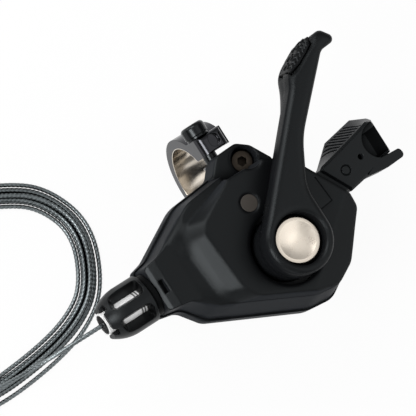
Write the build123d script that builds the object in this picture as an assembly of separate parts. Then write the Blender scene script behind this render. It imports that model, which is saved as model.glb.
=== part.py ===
"""Trigger gear shifter with its wire, seen on its cover.

Sizes are in mm. The origin is the middle of the handlebar bore.
+X runs outboard along the bar, +Y points to the rider, +Z out of the cover.
"""

import math
import os

from build123d import *

os.makedirs("parts", exist_ok=True)

# Fits and clearances
RUN_FIT = 0.05
SCREW_FIT = 0.05
THREAD_FIT = 0.02
END_PLAY = 0.1
FREE_GAP = 0.3
THROUGH = (0.0, 60.0)

# Handlebar clamp
BAR_D = 22.2
BAND_WALL = 2.8
BAND_W = 10.0
FOOT_RISE = 2.3
FOOT_FRONT = -8.5
EAR_RISE = 3.3
EAR_INSET = 3.5
EAR_ROUND = 2.2
EAR_END = 2.8
EAR_END_ROUND = 1.4
DIMPLE_X = -0.4
DIMPLE_DEPTH = 1.2
SPLIT_LOW = 2.7
SPLIT_W = 2.4
BOLT_X = -2.7
BOLT_R = 1.9
BOLT_WALL = 0.8
BOLT_TIP_Y = -4.0
BOLT_HEAD_R = 3.4
BOLT_HEAD_H = 3.2
BOLT_HEAD_ROUND = 1.0
WASHER_R = 3.1
WASHER_H = 0.7
SCREW_X = 1.5
SCREW_Y = -1.1
SCREW_R = 1.9
SCREW_TIP_WALL = 1.3
SCREW_HEAD_R = 3.1
SCREW_HEAD_H = 2.4
HEX_BOLT = 4.0
HEX_SCREW = 2.5
HEX_DEPTH = 1.6

BAR_R = BAR_D / 2
BAND_R = BAR_R + BAND_WALL
FOOT_TOP = BAND_R + FOOT_RISE
EAR_TOP = BAND_R + EAR_RISE
EAR_BACK = BAND_R - EAR_INSET
SPLIT_HIGH = SPLIT_LOW + SPLIT_W
BOLT_Z = BAR_R + BOLT_R + BOLT_WALL

# Shell levels and pivots
PIVOT_X = -5.0
PIVOT_Y = -26.0
Z_BACK = 13.0
Z_FLOOR = 14.6
Z_SEAM = 20.0
Z_BOSS = 23.0
Z_ROOF = 29.2
Z_PLATEAU = 30.6
Z_FLAT = 33.5
SEAM_STEP = 0.45
BACK_INSET = 1.0
BACK_RISE = 2.0
OPENING_R = 10.2
BOSS_FLOOR = 2.4
COUNTERBORE_R = 3.7
NOTCH_X = -1.1
NOTCH_Y = -0.9
NOTCH_R = 3.4
PLUG_X = -7.8
PLUG_Y = -11.3
PLUG_R = 2.3
PLUG_H = 2.0
FACET_DEG = 22.7
NECK_FALLS = [(3.5, 19.0), (1.2, 30.0)]
NECK_RISE = 8.0
NECK_RISE_DEG = 25.0
SLOT_IN = 1.5
SLOT_W = 1.3
SLOT_L = 3.8
ENGRAVE_W = 0.3
ENGRAVE_DEPTH = 0.2

# Axle and pull lever
AXLE_R = 2.0
AXLE_FLANGE_R = 4.0
AXLE_FLANGE_H = 0.6
AXLE_TOP = 39.5
CAP_R = 6.55
CAP_LOW = 38.6
CAP_TOP = 41.5
CAP_CHAMFER = 0.6
CAP_DISH_R = 5.1
CAP_DISH_DEPTH = 0.9
HUB_R = 9.3
HUB_STEM_R = 8.9
ARM_DEG = 46.0
ARM_LOW = 38.0
LEVER_TOP = 44.0
LEVER_ROUND = 1.3
RECESS_R = 7.0
RECESS_LOW = 38.3
BUSH_R = 3.2
SPRING_POCKET_IN = 4.2
SPRING_POCKET_OUT = 6.6
SPRING_POCKET_H = 3.6
PADDLE_HIGH = 41.0
PADDLE_LOW = 30.5
PAD_DEPTH = 2.3
PAD_EDGE = 0.3
PAD_GROOVE = 0.4
GRIP_LONG = 0.75
GRIP_SHORT = 0.5
GRIP_H = 0.35

# Mechanism
PLATE_H = 1.4
SPOOL_LOW = 20.2
SPOOL_TOP = 27.4
SPOOL_R = 10.8
SPOOL_HUB_R = 3.9
GROOVE_H = 2.2
RATCHET_H = 1.6
INDEX_TIP_R = 11.2
INDEX_ROOT_R = 9.8
INDEX_FIRST_DEG = -20.0
INDEX_TEETH = 12
DRIVE_TIP_R = 5.9
DRIVE_ROOT_R = 5.0
DRIVE_H = 1.5
TOOTH_DEG = 18.0
SPIRAL_R = 4.2
SPIRAL_STEP = 0.75
SPIRAL_TURNS = 3
SPIRAL_BAND = 0.5
LEVER_SPRING_R = 5.2
LEVER_SPRING_WIRE = 0.8
LEVER_SPRING_H = 2.0
LEVER_SPRING_LEG = 1.1
RELEASE_SPRING_R = 2.6
RELEASE_SPRING_WIRE = 0.6
RELEASE_SPRING_H = 1.6
RELEASE_SPRING_LEG = 2.2
PIN_PROUD = 0.6
HOLD_X = 11.5
HOLD_Y = -25.0
HOLD_PIN_R = 1.4
HOLD_HUB_R = 2.8
HOLD_ARM = [(9.6, -23.0), (13.6, -26.6), (6.4, -33.4), (4.95, -31.95)]
HOLD_TAIL = [(9.2, -24.2), (8.2, -20.6), (9.8, -20.0), (13.0, -23.2)]
HOLD_LEAF = [(14.6, -27.4), (14.1, -27.0), (8.9, -33.2), (9.2, -33.4), (13.9, -27.8), (14.2, -28.2)]
DRIVE_PIN_R = 0.9
DRIVE_PIN_L = 5.4
DRIVE_PIN_RADIUS = 7.75
DRIVE_PIN_DEG = 215.0
DRIVE_EYE_R = 1.6
DRIVE_ARM = [(-10.3, -30.2), (-11.8, -27.6), (-11.2, -24.4), (-12.9, -24.9), (-13.6, -28.0), (-13.3, -30.6)]

PLATE_TOP = Z_FLOOR + PLATE_H
FLANGE_TOP = PLATE_TOP + AXLE_FLANGE_H
INDEX_LOW = SPOOL_LOW - RATCHET_H
DRIVE_LOW = SPOOL_TOP + 2 * END_PLAY
DRIVE_TOP = SPOOL_TOP + DRIVE_H
HUB_LOW = DRIVE_TOP + FREE_GAP

# Release lever
RELEASE_X = 7.5
RELEASE_Y = -17.5
RELEASE_PIN_R = 1.5
RELEASE_EYE_R = 3.8
RELEASE_TOP = 28.0
RELEASE_LOW = 18.0
RELEASE_WALL = 1.5
RELEASE_RIDGE = 0.7
STEM_LOW = 21.2
STEM_TOP = 27.4
STEM_POINTS = [(8.0, -13.9), (16.8, -14.2), (21.0, -22.4), (8.6, -21.0)]
FINGER_X = 11.95
FINGER_Y = -19.8
FINGER_R = 0.85
BITE_X = 35.2
BITE_Y = -15.5
BITE_R = 5.1
RIB_GROOVES = 9
RIB_PITCH = 1.2
RIB_SLANT = 2.2
RIB_FIRST_X = 21.6
RIB_W = 0.6
RIB_DEPTH = 0.6
RIB_SHARE = 0.76
HOLE_X = 27.8
HOLE_Y = -16.8
HOLE_R = 0.8
RING_X = 22.2
RING_Y = -17.7
RING_R = 1.5
RING_W = 0.4

# Cable and barrel adjuster
CABLE_D = 1.2
CABLE_Y = -17.6
CABLE_Z = 24.0
CABLE_R = CABLE_Y - PIVOT_Y
HEAD_R = 2.2
HEAD_DEG = 30.0
NECK_X = -40.6
CAVITY_X = -32.5
INSERT_R = 4.4
INSERT_SINK = 0.4
INSERT_L = 6.6
KNOB_GAP = 1.6
KNOB_L = 13.3
KNOB_R = 6.7
KNOB_END_R = 4.5
KNOB_EDGE = 0.6
KNOB_STRAIGHT = 6.0
KNOB_BULGE = 0.45
FIN_W = 2.6
WINDOW_LOW = 1.0
WINDOW_LOW_W = 0.9
WINDOW_LOW_ENDS = (1.7, 4.8)
WINDOW_HIGH_W = 8.0
WINDOW_HIGH_ENDS = (1.2, 0.8)
WINDOW_DRAFT = 0.6
WINDOW_ROUND = 1.8
SCALLOP_W = 2.2
SCALLOP_L = 1.3
SCALLOP_PROUD = 0.4
CORE_R = 3.2
CORE_LIP = 0.5
CORE_GRIP = 4.8
CORE_BORE_R = 1.0
SEAT_R = 2.55
SEAT_DEPTH = 7.0
DETENT_R = 5.9
COIL_H = 2.6
COIL_W = 7.6
COIL_LIFT = 0.9

KNOB_IN_X = NECK_X - KNOB_GAP
KNOB_OUT_X = KNOB_IN_X - KNOB_L
CORE_OUT_X = KNOB_OUT_X - CORE_LIP
CORE_IN_X = NECK_X + CORE_GRIP
FLOOR_Z = -BAND_R
COIL_Z = FLOOR_Z + COIL_LIFT

# Shell outlines, clockwise from the neck, with a corner radius for each point
SEAM_POINTS = [
    (NECK_X, -10.5), (NECK_X + 4.5, -9.6), (-21.5, -1.7), (-8.6, -0.5), (-4.9, 3.6), (1.6, 3.9), (4.9, 1.5),
    (18.9, -22.6), (19.0, -27.6), (9.8, -40.2), (2.6, -44.4), (-4.6, -43.6), (-30.4, -31.4),
    (NECK_X + 5.6, -25.4), (NECK_X, -24.3),
]
PLATEAU_POINTS = [
    (NECK_X, -11.1), (NECK_X + 4.6, -10.3), (-21.4, -2.9), (-8.6, -1.6), (-4.7, 2.6), (1.4, 2.9), (4.3, 1.0),
    (18.2, -22.7), (18.3, -27.3), (8.6, -38.6), (2.4, -41.8), (-4.4, -41.0), (-28.6, -29.4),
    (NECK_X + 6.2, -24.6), (NECK_X, -23.7),
]
SHELL_RADII = [1.3, 6, 10, 2.6, 2.2, 2.4, 2.6, 3, 3.5, 6, 6, 8, 5, 4, 1.3]
STEP_POINTS = [
    (-9.6, -2.6), (-26.4, -7.6), (-28.8, -12.0), (-27.6, -27.0), (-24.6, -31.3), (-4.4, -41.0),
    (2.4, -41.8), (8.6, -38.6), (18.2, -27.3), (18.0, -23.0), (7.2, -3.6),
]
FLAT_POINTS = [
    (-9.6, -3.1), (-20.9, -9.6), (-22.4, -12.0), (-21.2, -29.2), (-18.8, -33.0), (-4.3, -40.1),
    (2.3, -40.9), (8.2, -37.9), (17.7, -27.2), (17.6, -23.1), (6.4, -3.6),
]
STEP_RADII = [1, 4, 3, 3, 4, 6, 6, 5, 3, 3, 1]
INNER_POINTS = [
    (CAVITY_X, -11.6), (-21.0, -5.2), (-10.2, -4.2), (-9.0, -8.8), (7.2, -9.4), (15.6, -23.2), (15.8, -26.6),
    (7.0, -36.8), (2.2, -39.6), (-4.6, -39.4), (-27.6, -28.6), (CAVITY_X, -23.2),
]
PLATE_POINTS = [
    (-17.5, -12.5), (-9.0, -9.4), (6.8, -10.6), (13.8, -22.6), (14.2, -27.6), (7.6, -31.5),
    (1.2, -36.6), (-4.6, -37.6), (-17.5, -31.6),
]
BOSS_ZONE = [(-9.2, -8.4), (8.2, -8.4), (8.2, 6.0), (-9.2, 6.0)]
COVER_EDGE = [(-9.4, -3.1), (1.2, -3.1), (4.4, -4.8), (12.0, -5.2), (12.0, 8.0), (-9.4, 8.0)]
RELEASE_SLOT = [(5.5, -9.6), (30.0, -9.6), (30.0, -27.2), (13.5, -27.2), (10.0, -20.0)]
FACET_FROM = (-2.7, -38.0)
FACET_TO = (16.9, -22.2)
ENGRAVED_LINE = [(11.5, -14.9), (12.1, -22.3), (8.4, -22.7)]
COLUMNS = [(-28.0, -11.5), (-22.5, -29.6), (4.4, -37.2)]
COLUMN_R = 2.3
COVER_SCREW_R = 1.2
COVER_SCREW_HEAD_R = 2.0
COVER_SCREW_HEAD_H = 1.0
COVER_SCREW_TOP = 26.0
HEX_COVER = 2.0
HEX_COVER_DEPTH = 0.6

# Pull lever outlines, from the inner side of the arm round its tip to the hub
ARM_POINTS = [
    (15.0, 8.08), (17.2, 11.9), (25.4, 16.2), (30.6, 17.2), (34.0, 12.7), (28.2, 12.2), (11.0, -4.2),
    (PIVOT_X + HUB_R, -15.8),
]
ARM_RADII = [6, 4, 8, 1.8, 1.4, 3, 25, 12]
SKIRT_HIGH = [
    (5.0, -2.7), (10.0, 2.4), (14.8, 7.0), (17.8, 11.6), (21.6, 13.9), (25.6, 15.9), (29.4, 16.4),
    (30.4, 14.4), (26.0, 11.6), (18.6, 5.0), (11.6, -1.4), (7.0, -3.4),
]
SKIRT_LOW = [
    (15.2, 5.4), (15.8, 6.6), (16.9, 8.6), (18.4, 11.6), (21.6, 14.2), (26.4, 16.4), (29.8, 17.0),
    (30.8, 15.4), (27.0, 12.8), (22.0, 9.4), (17.4, 6.0),
]
PAD_TOP = [(16.8, 11.6), (20.4, 12.5), (23.6, 14.0), (25.7, 15.4)]
PAD_SIDE = [(17.2, 12.1), (20.2, 14.1), (24.6, 16.4), (27.2, 17.1)]
PAD_FOOT = [(19.0, 12.5), (22.4, 14.9), (25.8, 16.6), (28.9, 17.3)]
PAD_TOP_Z = LEVER_TOP - 0.1
PAD_SIDE_Z = LEVER_TOP - 1.7
PAD_FOOT_Z = PADDLE_LOW + 1.3

# Release lever outlines, from its base along the ribbed ridge to the open end
RELEASE_HIGH = [
    (15.8, -14.3), (17.1, -13.5), (23.1, -12.3), (30.6, -10.6), (34.4, -9.6), (35.9, -10.4), (35.9, -19.9),
    (28.0, -22.0), (20.7, -23.2),
]
RELEASE_BASE = [
    (17.6, -14.5), (19.2, -13.7), (25.2, -8.8), (34.7, -7.1), (39.2, -9.1), (40.1, -10.1), (40.1, -19.9),
    (28.6, -21.8), (21.2, -22.8),
]
HOLLOW_HIGH = [
    (19.4, -14.9), (23.6, -13.9), (30.9, -12.2), (42.0, -11.6), (42.0, -19.0), (28.0, -20.4), (21.8, -21.4),
]
HOLLOW_LOW = [
    (21.0, -13.9), (25.8, -10.6), (34.2, -9.0), (42.0, -12.0), (42.0, -19.0), (28.2, -20.3), (22.0, -21.2),
]
INNER_WEB = [(19.0, -20.8), (19.0, -14.0), (33.2, -11.9), (33.2, -18.9)]
INNER_WEB_LOW = 24.4
INNER_WEB_H = 1.2
LIP_POINTS = [(26.5, -22.3), (31.5, -19.9), (38.4, -20.3), (39.0, -22.8), (33.0, -23.1)]
LIP_RADII = [0.3, 0.3, 0.9, 1.1, 2.0]
LIP_LOW = 20.0

# Wire, from the barrel down to the coil, and the coil's outer line
FREE_ROUTE = [
    (CORE_OUT_X, CABLE_Y, CABLE_Z), (-67.0, CABLE_Y, CABLE_Z), (-79.0, -17.4, 15.5), (-89.0, -16.5, 0.5),
    (-97.0, -12.0, COIL_Z + 1.4), (-100.6, -1.0, COIL_Z), (-100.8, 8.0, COIL_Z),
]
COIL_OUTSIDE = [
    (-31.4, 6.5), (-36.7, 21.4), (-47.1, 28.9), (-61.5, 34.2), (-80.3, 33.9), (-97.0, 25.9), (-105.3, 10.3),
    (-102.9, -7.8), (-93.5, -18.4), (-80.8, -21.6), (-62.1, -20.2), (-48.9, -16.9), (-38.5, -9.8),
]
BEND_SHARE = 0.45


def outline(points, radius):
    return make_face(FilletPolyline(*points, radius=radius, close=True))


def polygon(points):
    return make_face(Polyline(*points, close=True))


def smooth(points):
    return make_face(Spline(*points, periodic=True))


def prism(sketch, z0, z1):
    return extrude(Pos(0, 0, z0) * sketch, amount=z1 - z0)


def ruled(*levels):
    return loft([Pos(0, 0, z) * sketch for sketch, z in levels], ruled=True)


def pin(x, y, r, z0, z1):
    return Pos(x, y, (z0 + z1) / 2) * Cylinder(r, z1 - z0)


def pin_y(x, z, r, y0, y1):
    return Pos(x, (y0 + y1) / 2, z) * Rot(90, 0, 0) * Cylinder(r, y1 - y0)


def pin_x(r, x0, x1):
    return Pos((x0 + x1) / 2, CABLE_Y, CABLE_Z) * Rot(0, 90, 0) * Cylinder(r, x1 - x0)


def block(x0, x1, y0, y1, z0, z1):
    return Pos((x0 + x1) / 2, (y0 + y1) / 2, (z0 + z1) / 2) * Box(x1 - x0, y1 - y0, z1 - z0)


def half_space(origin, normal, size=80.0):
    return Plane(origin=origin, z_dir=normal) * Pos(0, 0, size / 2) * Box(size, size, size)


def around_pivot(radius, degrees):
    a = math.radians(degrees)
    return PIVOT_X + radius * math.cos(a), PIVOT_Y + radius * math.sin(a)


def hexagon(across):
    return RegularPolygon(across / math.sqrt(3), 6)


# Clamp
def clamp_section():
    root = 0.65 * BAR_R
    ring = Circle(BAND_R)
    foot = outline(
        [(FOOT_FRONT, root), (FOOT_FRONT, FOOT_TOP), (SPLIT_LOW, FOOT_TOP), (SPLIT_LOW, root)], [1, 1, 0.4, 1]
    )
    ear = outline(
        [(SPLIT_HIGH, root), (SPLIT_HIGH, EAR_TOP), (EAR_BACK, EAR_TOP), (EAR_BACK, root)], [1, 0.4, 1.6, 1]
    )
    split = Pos((SPLIT_LOW + SPLIT_HIGH) / 2, BAND_R) * Rectangle(SPLIT_W, BAR_R)
    return ring + foot + ear - Circle(BAR_R) - split


def ear_rounding(edge_x, middle_x, radius):
    low_x, high_x = sorted([edge_x, middle_x])
    corner = block(low_x, high_x, SPLIT_HIGH, BAND_R, EAR_TOP - radius, EAR_TOP + 1)
    return corner - pin_y(middle_x, EAR_TOP - radius, radius, SPLIT_HIGH - 1, BAND_R + 1)


def clamp_band():
    band = extrude(Plane.YZ * clamp_section(), amount=BAND_W / 2, both=True)
    band -= block(EAR_END, BAND_W, SPLIT_HIGH, BAND_R, BAR_R + 0.4, EAR_TOP + 1)
    band -= ear_rounding(-BAND_W / 2, EAR_ROUND - BAND_W / 2, EAR_ROUND)
    band -= ear_rounding(EAR_END, EAR_END - EAR_END_ROUND, EAR_END_ROUND)
    band -= pin_y(BOLT_X, BOLT_Z, BOLT_R + SCREW_FIT, BOLT_TIP_Y - 0.5, BAND_R)
    band -= pin(SCREW_X, SCREW_Y, SCREW_R + SCREW_FIT, *THROUGH)
    dimple_y = (SPLIT_HIGH + EAR_BACK) / 2
    return band - prism(Pos(DIMPLE_X, dimple_y) * Ellipse(1.6, 1.9), EAR_TOP - DIMPLE_DEPTH, EAR_TOP + 1)


def clamp_bolt():
    seat = EAR_BACK + WASHER_H
    bolt = pin_y(BOLT_X, BOLT_Z, BOLT_R, BOLT_TIP_Y, seat)
    head = pin_y(BOLT_X, BOLT_Z, BOLT_HEAD_R, seat, seat + BOLT_HEAD_H)
    head = fillet(head.edges().group_by(Axis.Y)[-1], BOLT_HEAD_ROUND)
    socket = extrude(Plane.XZ * hexagon(HEX_BOLT), amount=HEX_DEPTH)
    return bolt + head - Pos(BOLT_X, seat + BOLT_HEAD_H, BOLT_Z) * socket


def clamp_washer():
    washer = pin_y(BOLT_X, BOLT_Z, WASHER_R, EAR_BACK, EAR_BACK + WASHER_H)
    return washer - pin_y(BOLT_X, BOLT_Z, BOLT_R + SCREW_FIT, EAR_BACK - 1, EAR_BACK + WASHER_H + 1)


def mount_screw():
    seat = FOOT_TOP + BOSS_FLOOR
    top = seat + SCREW_HEAD_H
    head = pin(SCREW_X, SCREW_Y, SCREW_HEAD_R, seat, top)
    head = chamfer(head.edges().group_by(Axis.Z)[-1], 0.3)
    screw = head + pin(SCREW_X, SCREW_Y, SCREW_R, BAR_R + SCREW_TIP_WALL, seat)
    return screw - prism(Pos(SCREW_X, SCREW_Y) * hexagon(HEX_SCREW), top - HEX_DEPTH, top + 1)


# Shells
def release_slot():
    return prism(polygon(RELEASE_SLOT), RELEASE_LOW - 1, Z_ROOF)


def neck_bores():
    bores = pin_x(INSERT_R, NECK_X - 1, NECK_X + INSERT_SINK + INSERT_L)
    return bores + pin_x(CORE_R + FREE_GAP, NECK_X, CAVITY_X + 0.5)


def neck_underside():
    a = math.radians(NECK_RISE_DEG)
    return half_space((NECK_X + NECK_RISE, CABLE_Y, Z_BACK), (-math.sin(a), 0, -math.cos(a)))


def neck_falls():
    height, start, slope = Z_PLATEAU, NECK_FALLS[0][0], 0.0
    falls = []
    for reach, degrees in NECK_FALLS:
        height -= (start - reach) * slope
        a = math.radians(degrees)
        falls.append(half_space((NECK_X + reach, CABLE_Y, height), (-math.sin(a), 0, math.cos(a))))
        start, slope = reach, math.tan(a)
    return falls


def column_holes(radius, top):
    return [pin(x, y, radius, THROUGH[0], top) for x, y in COLUMNS]


def upper_housing():
    shell = outline(SEAM_POINTS, SHELL_RADII)
    back = offset(shell, -BACK_INSET)
    body = ruled((back, Z_BACK), (shell, Z_BACK + BACK_RISE), (shell, Z_SEAM))
    body += prism(shell & polygon(BOSS_ZONE), Z_SEAM - 1, Z_BOSS)
    body -= block(-BAND_W / 2 - 0.4, BAND_W / 2 + 0.4, FOOT_FRONT - 0.5, BAND_R, BAR_R, FOOT_TOP)
    body -= prism(outline(INNER_POINTS, 1.5), Z_FLOOR, THROUGH[1])
    head_seat = Z_BACK + END_PLAY + COVER_SCREW_HEAD_H
    body += [pin(x, y, COLUMN_R, head_seat, Z_SEAM) for x, y in COLUMNS]
    body -= column_holes(COVER_SCREW_R + END_PLAY, THROUGH[1])
    body -= column_holes(COVER_SCREW_HEAD_R + END_PLAY, head_seat)
    body -= [release_slot(), neck_bores(), neck_underside()]
    body -= pin(SCREW_X, SCREW_Y, SCREW_R + 4 * SCREW_FIT, *THROUGH)
    return body - pin(SCREW_X, SCREW_Y, COUNTERBORE_R, FOOT_TOP + BOSS_FLOOR, THROUGH[1])


def engraved_lines():
    lines = []
    for a, b in zip(ENGRAVED_LINE, ENGRAVED_LINE[1:]):
        line = Vector(b) - Vector(a)
        middle = (Vector(a) + Vector(b)) / 2
        turn = math.degrees(math.atan2(line.Y, line.X))
        bar = Box(line.length + ENGRAVE_W, ENGRAVE_W, 2 * ENGRAVE_DEPTH)
        lines.append(Pos(middle.X, middle.Y, Z_FLAT) * Rot(0, 0, turn) * bar)
    return lines


def right_facet():
    along = (Vector(FACET_TO) - Vector(FACET_FROM)).normalized()
    a = math.radians(FACET_DEG)
    normal = (along.Y * math.sin(a), -along.X * math.sin(a), math.cos(a))
    return half_space((*FACET_FROM, Z_FLAT), normal)


def lower_cover():
    shell = offset(outline(SEAM_POINTS, SHELL_RADII), -SEAM_STEP)
    body = ruled((shell, Z_SEAM), (outline(PLATEAU_POINTS, SHELL_RADII), Z_PLATEAU))
    step, flat = outline(STEP_POINTS, STEP_RADII), outline(FLAT_POINTS, STEP_RADII)
    body += ruled((step, Z_PLATEAU - 0.2), (flat, Z_FLAT))
    body -= [right_facet(), *neck_falls()]
    body -= prism(outline(INNER_POINTS, 1.5), Z_SEAM - 1, Z_ROOF)
    body += [pin(x, y, COLUMN_R, Z_SEAM, Z_ROOF + 0.5) for x, y in COLUMNS]
    body -= column_holes(COVER_SCREW_R + THREAD_FIT, COVER_SCREW_TOP + FREE_GAP)
    body -= prism(offset(polygon(BOSS_ZONE), 0.2, kind=Kind.INTERSECTION), Z_BACK, Z_BOSS)
    body -= prism(polygon(COVER_EDGE), Z_BOSS - 1, THROUGH[1])
    body -= pin(NOTCH_X, NOTCH_Y, NOTCH_R, Z_BOSS, THROUGH[1])
    body -= pin(PIVOT_X, PIVOT_Y, OPENING_R, Z_SEAM, THROUGH[1])
    body -= [release_slot(), neck_bores()]
    slot_low = CABLE_Z + INSERT_R + 0.5
    slot_x = NECK_X + SLOT_IN
    body -= block(slot_x, slot_x + SLOT_W, CABLE_Y - SLOT_L / 2, CABLE_Y + SLOT_L / 2, slot_low, Z_FLAT)
    body -= pin(PLUG_X, PLUG_Y, PLUG_R + RUN_FIT, Z_FLAT - PLUG_H, THROUGH[1])
    return body - engraved_lines()


def access_plug():
    return pin(PLUG_X, PLUG_Y, PLUG_R, Z_FLAT - PLUG_H, Z_FLAT)


def base_plate():
    plate = prism(outline(PLATE_POINTS, 1.5), Z_FLOOR, PLATE_TOP)
    plate -= pin(PIVOT_X, PIVOT_Y, AXLE_R, *THROUGH)
    plate -= pin(HOLD_X, HOLD_Y, HOLD_PIN_R, *THROUGH)
    return plate - pin(RELEASE_X, RELEASE_Y, RELEASE_PIN_R, *THROUGH)


def main_axle():
    axle = pin(PIVOT_X, PIVOT_Y, AXLE_R, Z_FLOOR + END_PLAY, AXLE_TOP)
    return axle + pin(PIVOT_X, PIVOT_Y, AXLE_FLANGE_R, PLATE_TOP, FLANGE_TOP)


def pivot_cap():
    cap = pin(PIVOT_X, PIVOT_Y, CAP_R, CAP_LOW, CAP_TOP)
    cap = chamfer(cap.edges().group_by(Axis.Z)[-1], CAP_CHAMFER)
    dish = (CAP_DISH_R**2 + CAP_DISH_DEPTH**2) / (2 * CAP_DISH_DEPTH)
    cap -= Pos(PIVOT_X, PIVOT_Y, CAP_TOP - CAP_DISH_DEPTH + dish) * Sphere(dish)
    return cap - pin(PIVOT_X, PIVOT_Y, AXLE_R, CAP_LOW - 1, AXLE_TOP)


def cover_screws():
    screws = []
    low = Z_BACK + END_PLAY
    for x, y in COLUMNS:
        head = pin(x, y, COVER_SCREW_HEAD_R, low, low + COVER_SCREW_HEAD_H)
        head -= prism(Pos(x, y) * hexagon(HEX_COVER), low - 1, low + HEX_COVER_DEPTH)
        screws.append(head + pin(x, y, COVER_SCREW_R, low + HEX_COVER_DEPTH, COVER_SCREW_TOP))
    return Compound(screws)


# Pull lever
def hub_corner(from_deg, to_deg):
    half = math.radians(to_deg - from_deg) / 2
    return around_pivot(HUB_R / math.cos(half), (from_deg + to_deg) / 2)


def lever_plan():
    hub = [hub_corner(315, 360), hub_corner(225, 315), hub_corner(90 + ARM_DEG, 225)]
    return outline(ARM_POINTS + hub, ARM_RADII + [HUB_R - 0.02] * 3)


def pad_level(points, depth, border):
    points = [Vector(p) for p in points]
    along = (points[-1] - points[0]).normalized()
    inward = Vector(along.Y, -along.X)
    first = points[0] - (points[1] - points[0]).normalized() * border
    last = points[-1] + (points[-1] - points[-2]).normalized() * border
    line = [first, *points[1:-1], last]
    return polygon([p - inward * 3 * border for p in line] + [p + inward * depth for p in reversed(line)])


def pad_form(border):
    below = 1 + border / (PAD_SIDE_Z - PAD_FOOT_Z)
    foot = [Vector(a) + (Vector(b) - Vector(a)) * below for a, b in zip(PAD_SIDE, PAD_FOOT)]
    return ruled(
        (pad_level(PAD_TOP, PAD_EDGE + border, border), PAD_TOP_Z + border),
        (pad_level(PAD_SIDE, PAD_DEPTH, border), PAD_SIDE_Z),
        (pad_level(foot, PAD_DEPTH, border), PAD_FOOT_Z - border),
    )


def along_points(points, share):
    step = share * (len(points) - 1)
    k = min(int(step), len(points) - 2)
    return Vector(points[k]) + (Vector(points[k + 1]) - Vector(points[k])) * (step - k)


def grip_outline():
    turns = [math.radians(22.5 + 45 * k) for k in range(8)]
    return polygon([(GRIP_LONG * math.cos(a), GRIP_SHORT * math.sin(a)) for a in turns])


def pad_grips():
    grips = []
    for row, column in [(row, column) for row in range(3) for column in range(4)]:
        share = 0.14 + 0.22 * column + 0.06 * (row % 2)
        drop = 0.10 + 0.22 * row
        side, foot = along_points(PAD_SIDE, share), along_points(PAD_FOOT, share)
        high, low = Vector(side.X, side.Y, PAD_SIDE_Z), Vector(foot.X, foot.Y, PAD_FOOT_Z)
        along = (along_points(PAD_SIDE, share + 0.02) - along_points(PAD_SIDE, share - 0.02)).normalized()
        face = Plane(origin=high + (low - high) * drop, x_dir=along, z_dir=(low - high).cross(along))
        grips.append(face * extrude(grip_outline(), amount=GRIP_H, both=True))
    return grips


def thumb_pad():
    return pad_form(0.0) + pad_grips()


def pull_lever():
    arm = prism(lever_plan(), ARM_LOW, LEVER_TOP)
    arm = fillet(arm.edges().group_by(Axis.Z)[-1], LEVER_ROUND)
    lever = arm + ruled((smooth(SKIRT_HIGH), PADDLE_HIGH), (smooth(SKIRT_LOW), PADDLE_LOW))
    lever += pin(PIVOT_X, PIVOT_Y, HUB_STEM_R, HUB_LOW, ARM_LOW + 1)
    lever -= pin(PIVOT_X, PIVOT_Y, RECESS_R, RECESS_LOW, LEVER_TOP + 1)
    lever -= pin(PIVOT_X, PIVOT_Y, BUSH_R, *THROUGH)
    pocket = pin(PIVOT_X, PIVOT_Y, SPRING_POCKET_OUT, HUB_LOW, HUB_LOW + SPRING_POCKET_H)
    lever -= pocket - pin(PIVOT_X, PIVOT_Y, SPRING_POCKET_IN, *THROUGH)
    return lever - [drive_pawl_pin(), pad_form(PAD_GROOVE)]


def lever_bushing():
    bush = pin(PIVOT_X, PIVOT_Y, BUSH_R, HUB_LOW, RECESS_LOW)
    return bush - pin(PIVOT_X, PIVOT_Y, AXLE_R + RUN_FIT, *THROUGH)


def drive_pawl_pin():
    x, y = around_pivot(DRIVE_PIN_RADIUS, DRIVE_PIN_DEG)
    return pin(x, y, DRIVE_PIN_R, DRIVE_LOW, DRIVE_LOW + DRIVE_PIN_L)


def drive_pawl():
    eye = Pos(*around_pivot(DRIVE_PIN_RADIUS, DRIVE_PIN_DEG))
    sketch = polygon(DRIVE_ARM) + eye * Circle(DRIVE_EYE_R) - eye * Circle(DRIVE_PIN_R + RUN_FIT)
    return prism(sketch, DRIVE_LOW, DRIVE_TOP)


# Spool and ratchets
def saw(root, tip, teeth, first_deg):
    points = []
    for k in range(teeth):
        low = first_deg + k * TOOTH_DEG
        points.append(around_pivot(root, low + 1.5))
        points.append(around_pivot(tip, low + TOOTH_DEG - 1.0))
        points.append(around_pivot(tip, low + TOOTH_DEG))
    return points


def index_ratchet():
    teeth = saw(INDEX_ROOT_R, INDEX_TIP_R, INDEX_TEETH, INDEX_FIRST_DEG)
    middle = around_pivot(INDEX_TIP_R, INDEX_FIRST_DEG + (INDEX_TEETH * TOOTH_DEG + 360) / 2)
    land = ThreePointArc(teeth[-1], middle, teeth[0])
    sketch = make_face(Polyline(*teeth) + land) - Pos(PIVOT_X, PIVOT_Y) * Circle(SPOOL_HUB_R)
    return prism(sketch, INDEX_LOW, SPOOL_LOW)


def drive_ratchet():
    teeth = saw(DRIVE_ROOT_R, DRIVE_TIP_R, round(360 / TOOTH_DEG), 0)
    sketch = polygon(teeth) - Pos(PIVOT_X, PIVOT_Y) * Circle(BUSH_R)
    return prism(sketch, SPOOL_TOP, DRIVE_TOP)


def cable_head():
    x, y = around_pivot(CABLE_R, HEAD_DEG)
    return Pos(x, y, CABLE_Z) * Rot(0, 0, HEAD_DEG) * Rot(90, 0, 0) * Cylinder(HEAD_R, 2 * HEAD_R)


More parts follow.
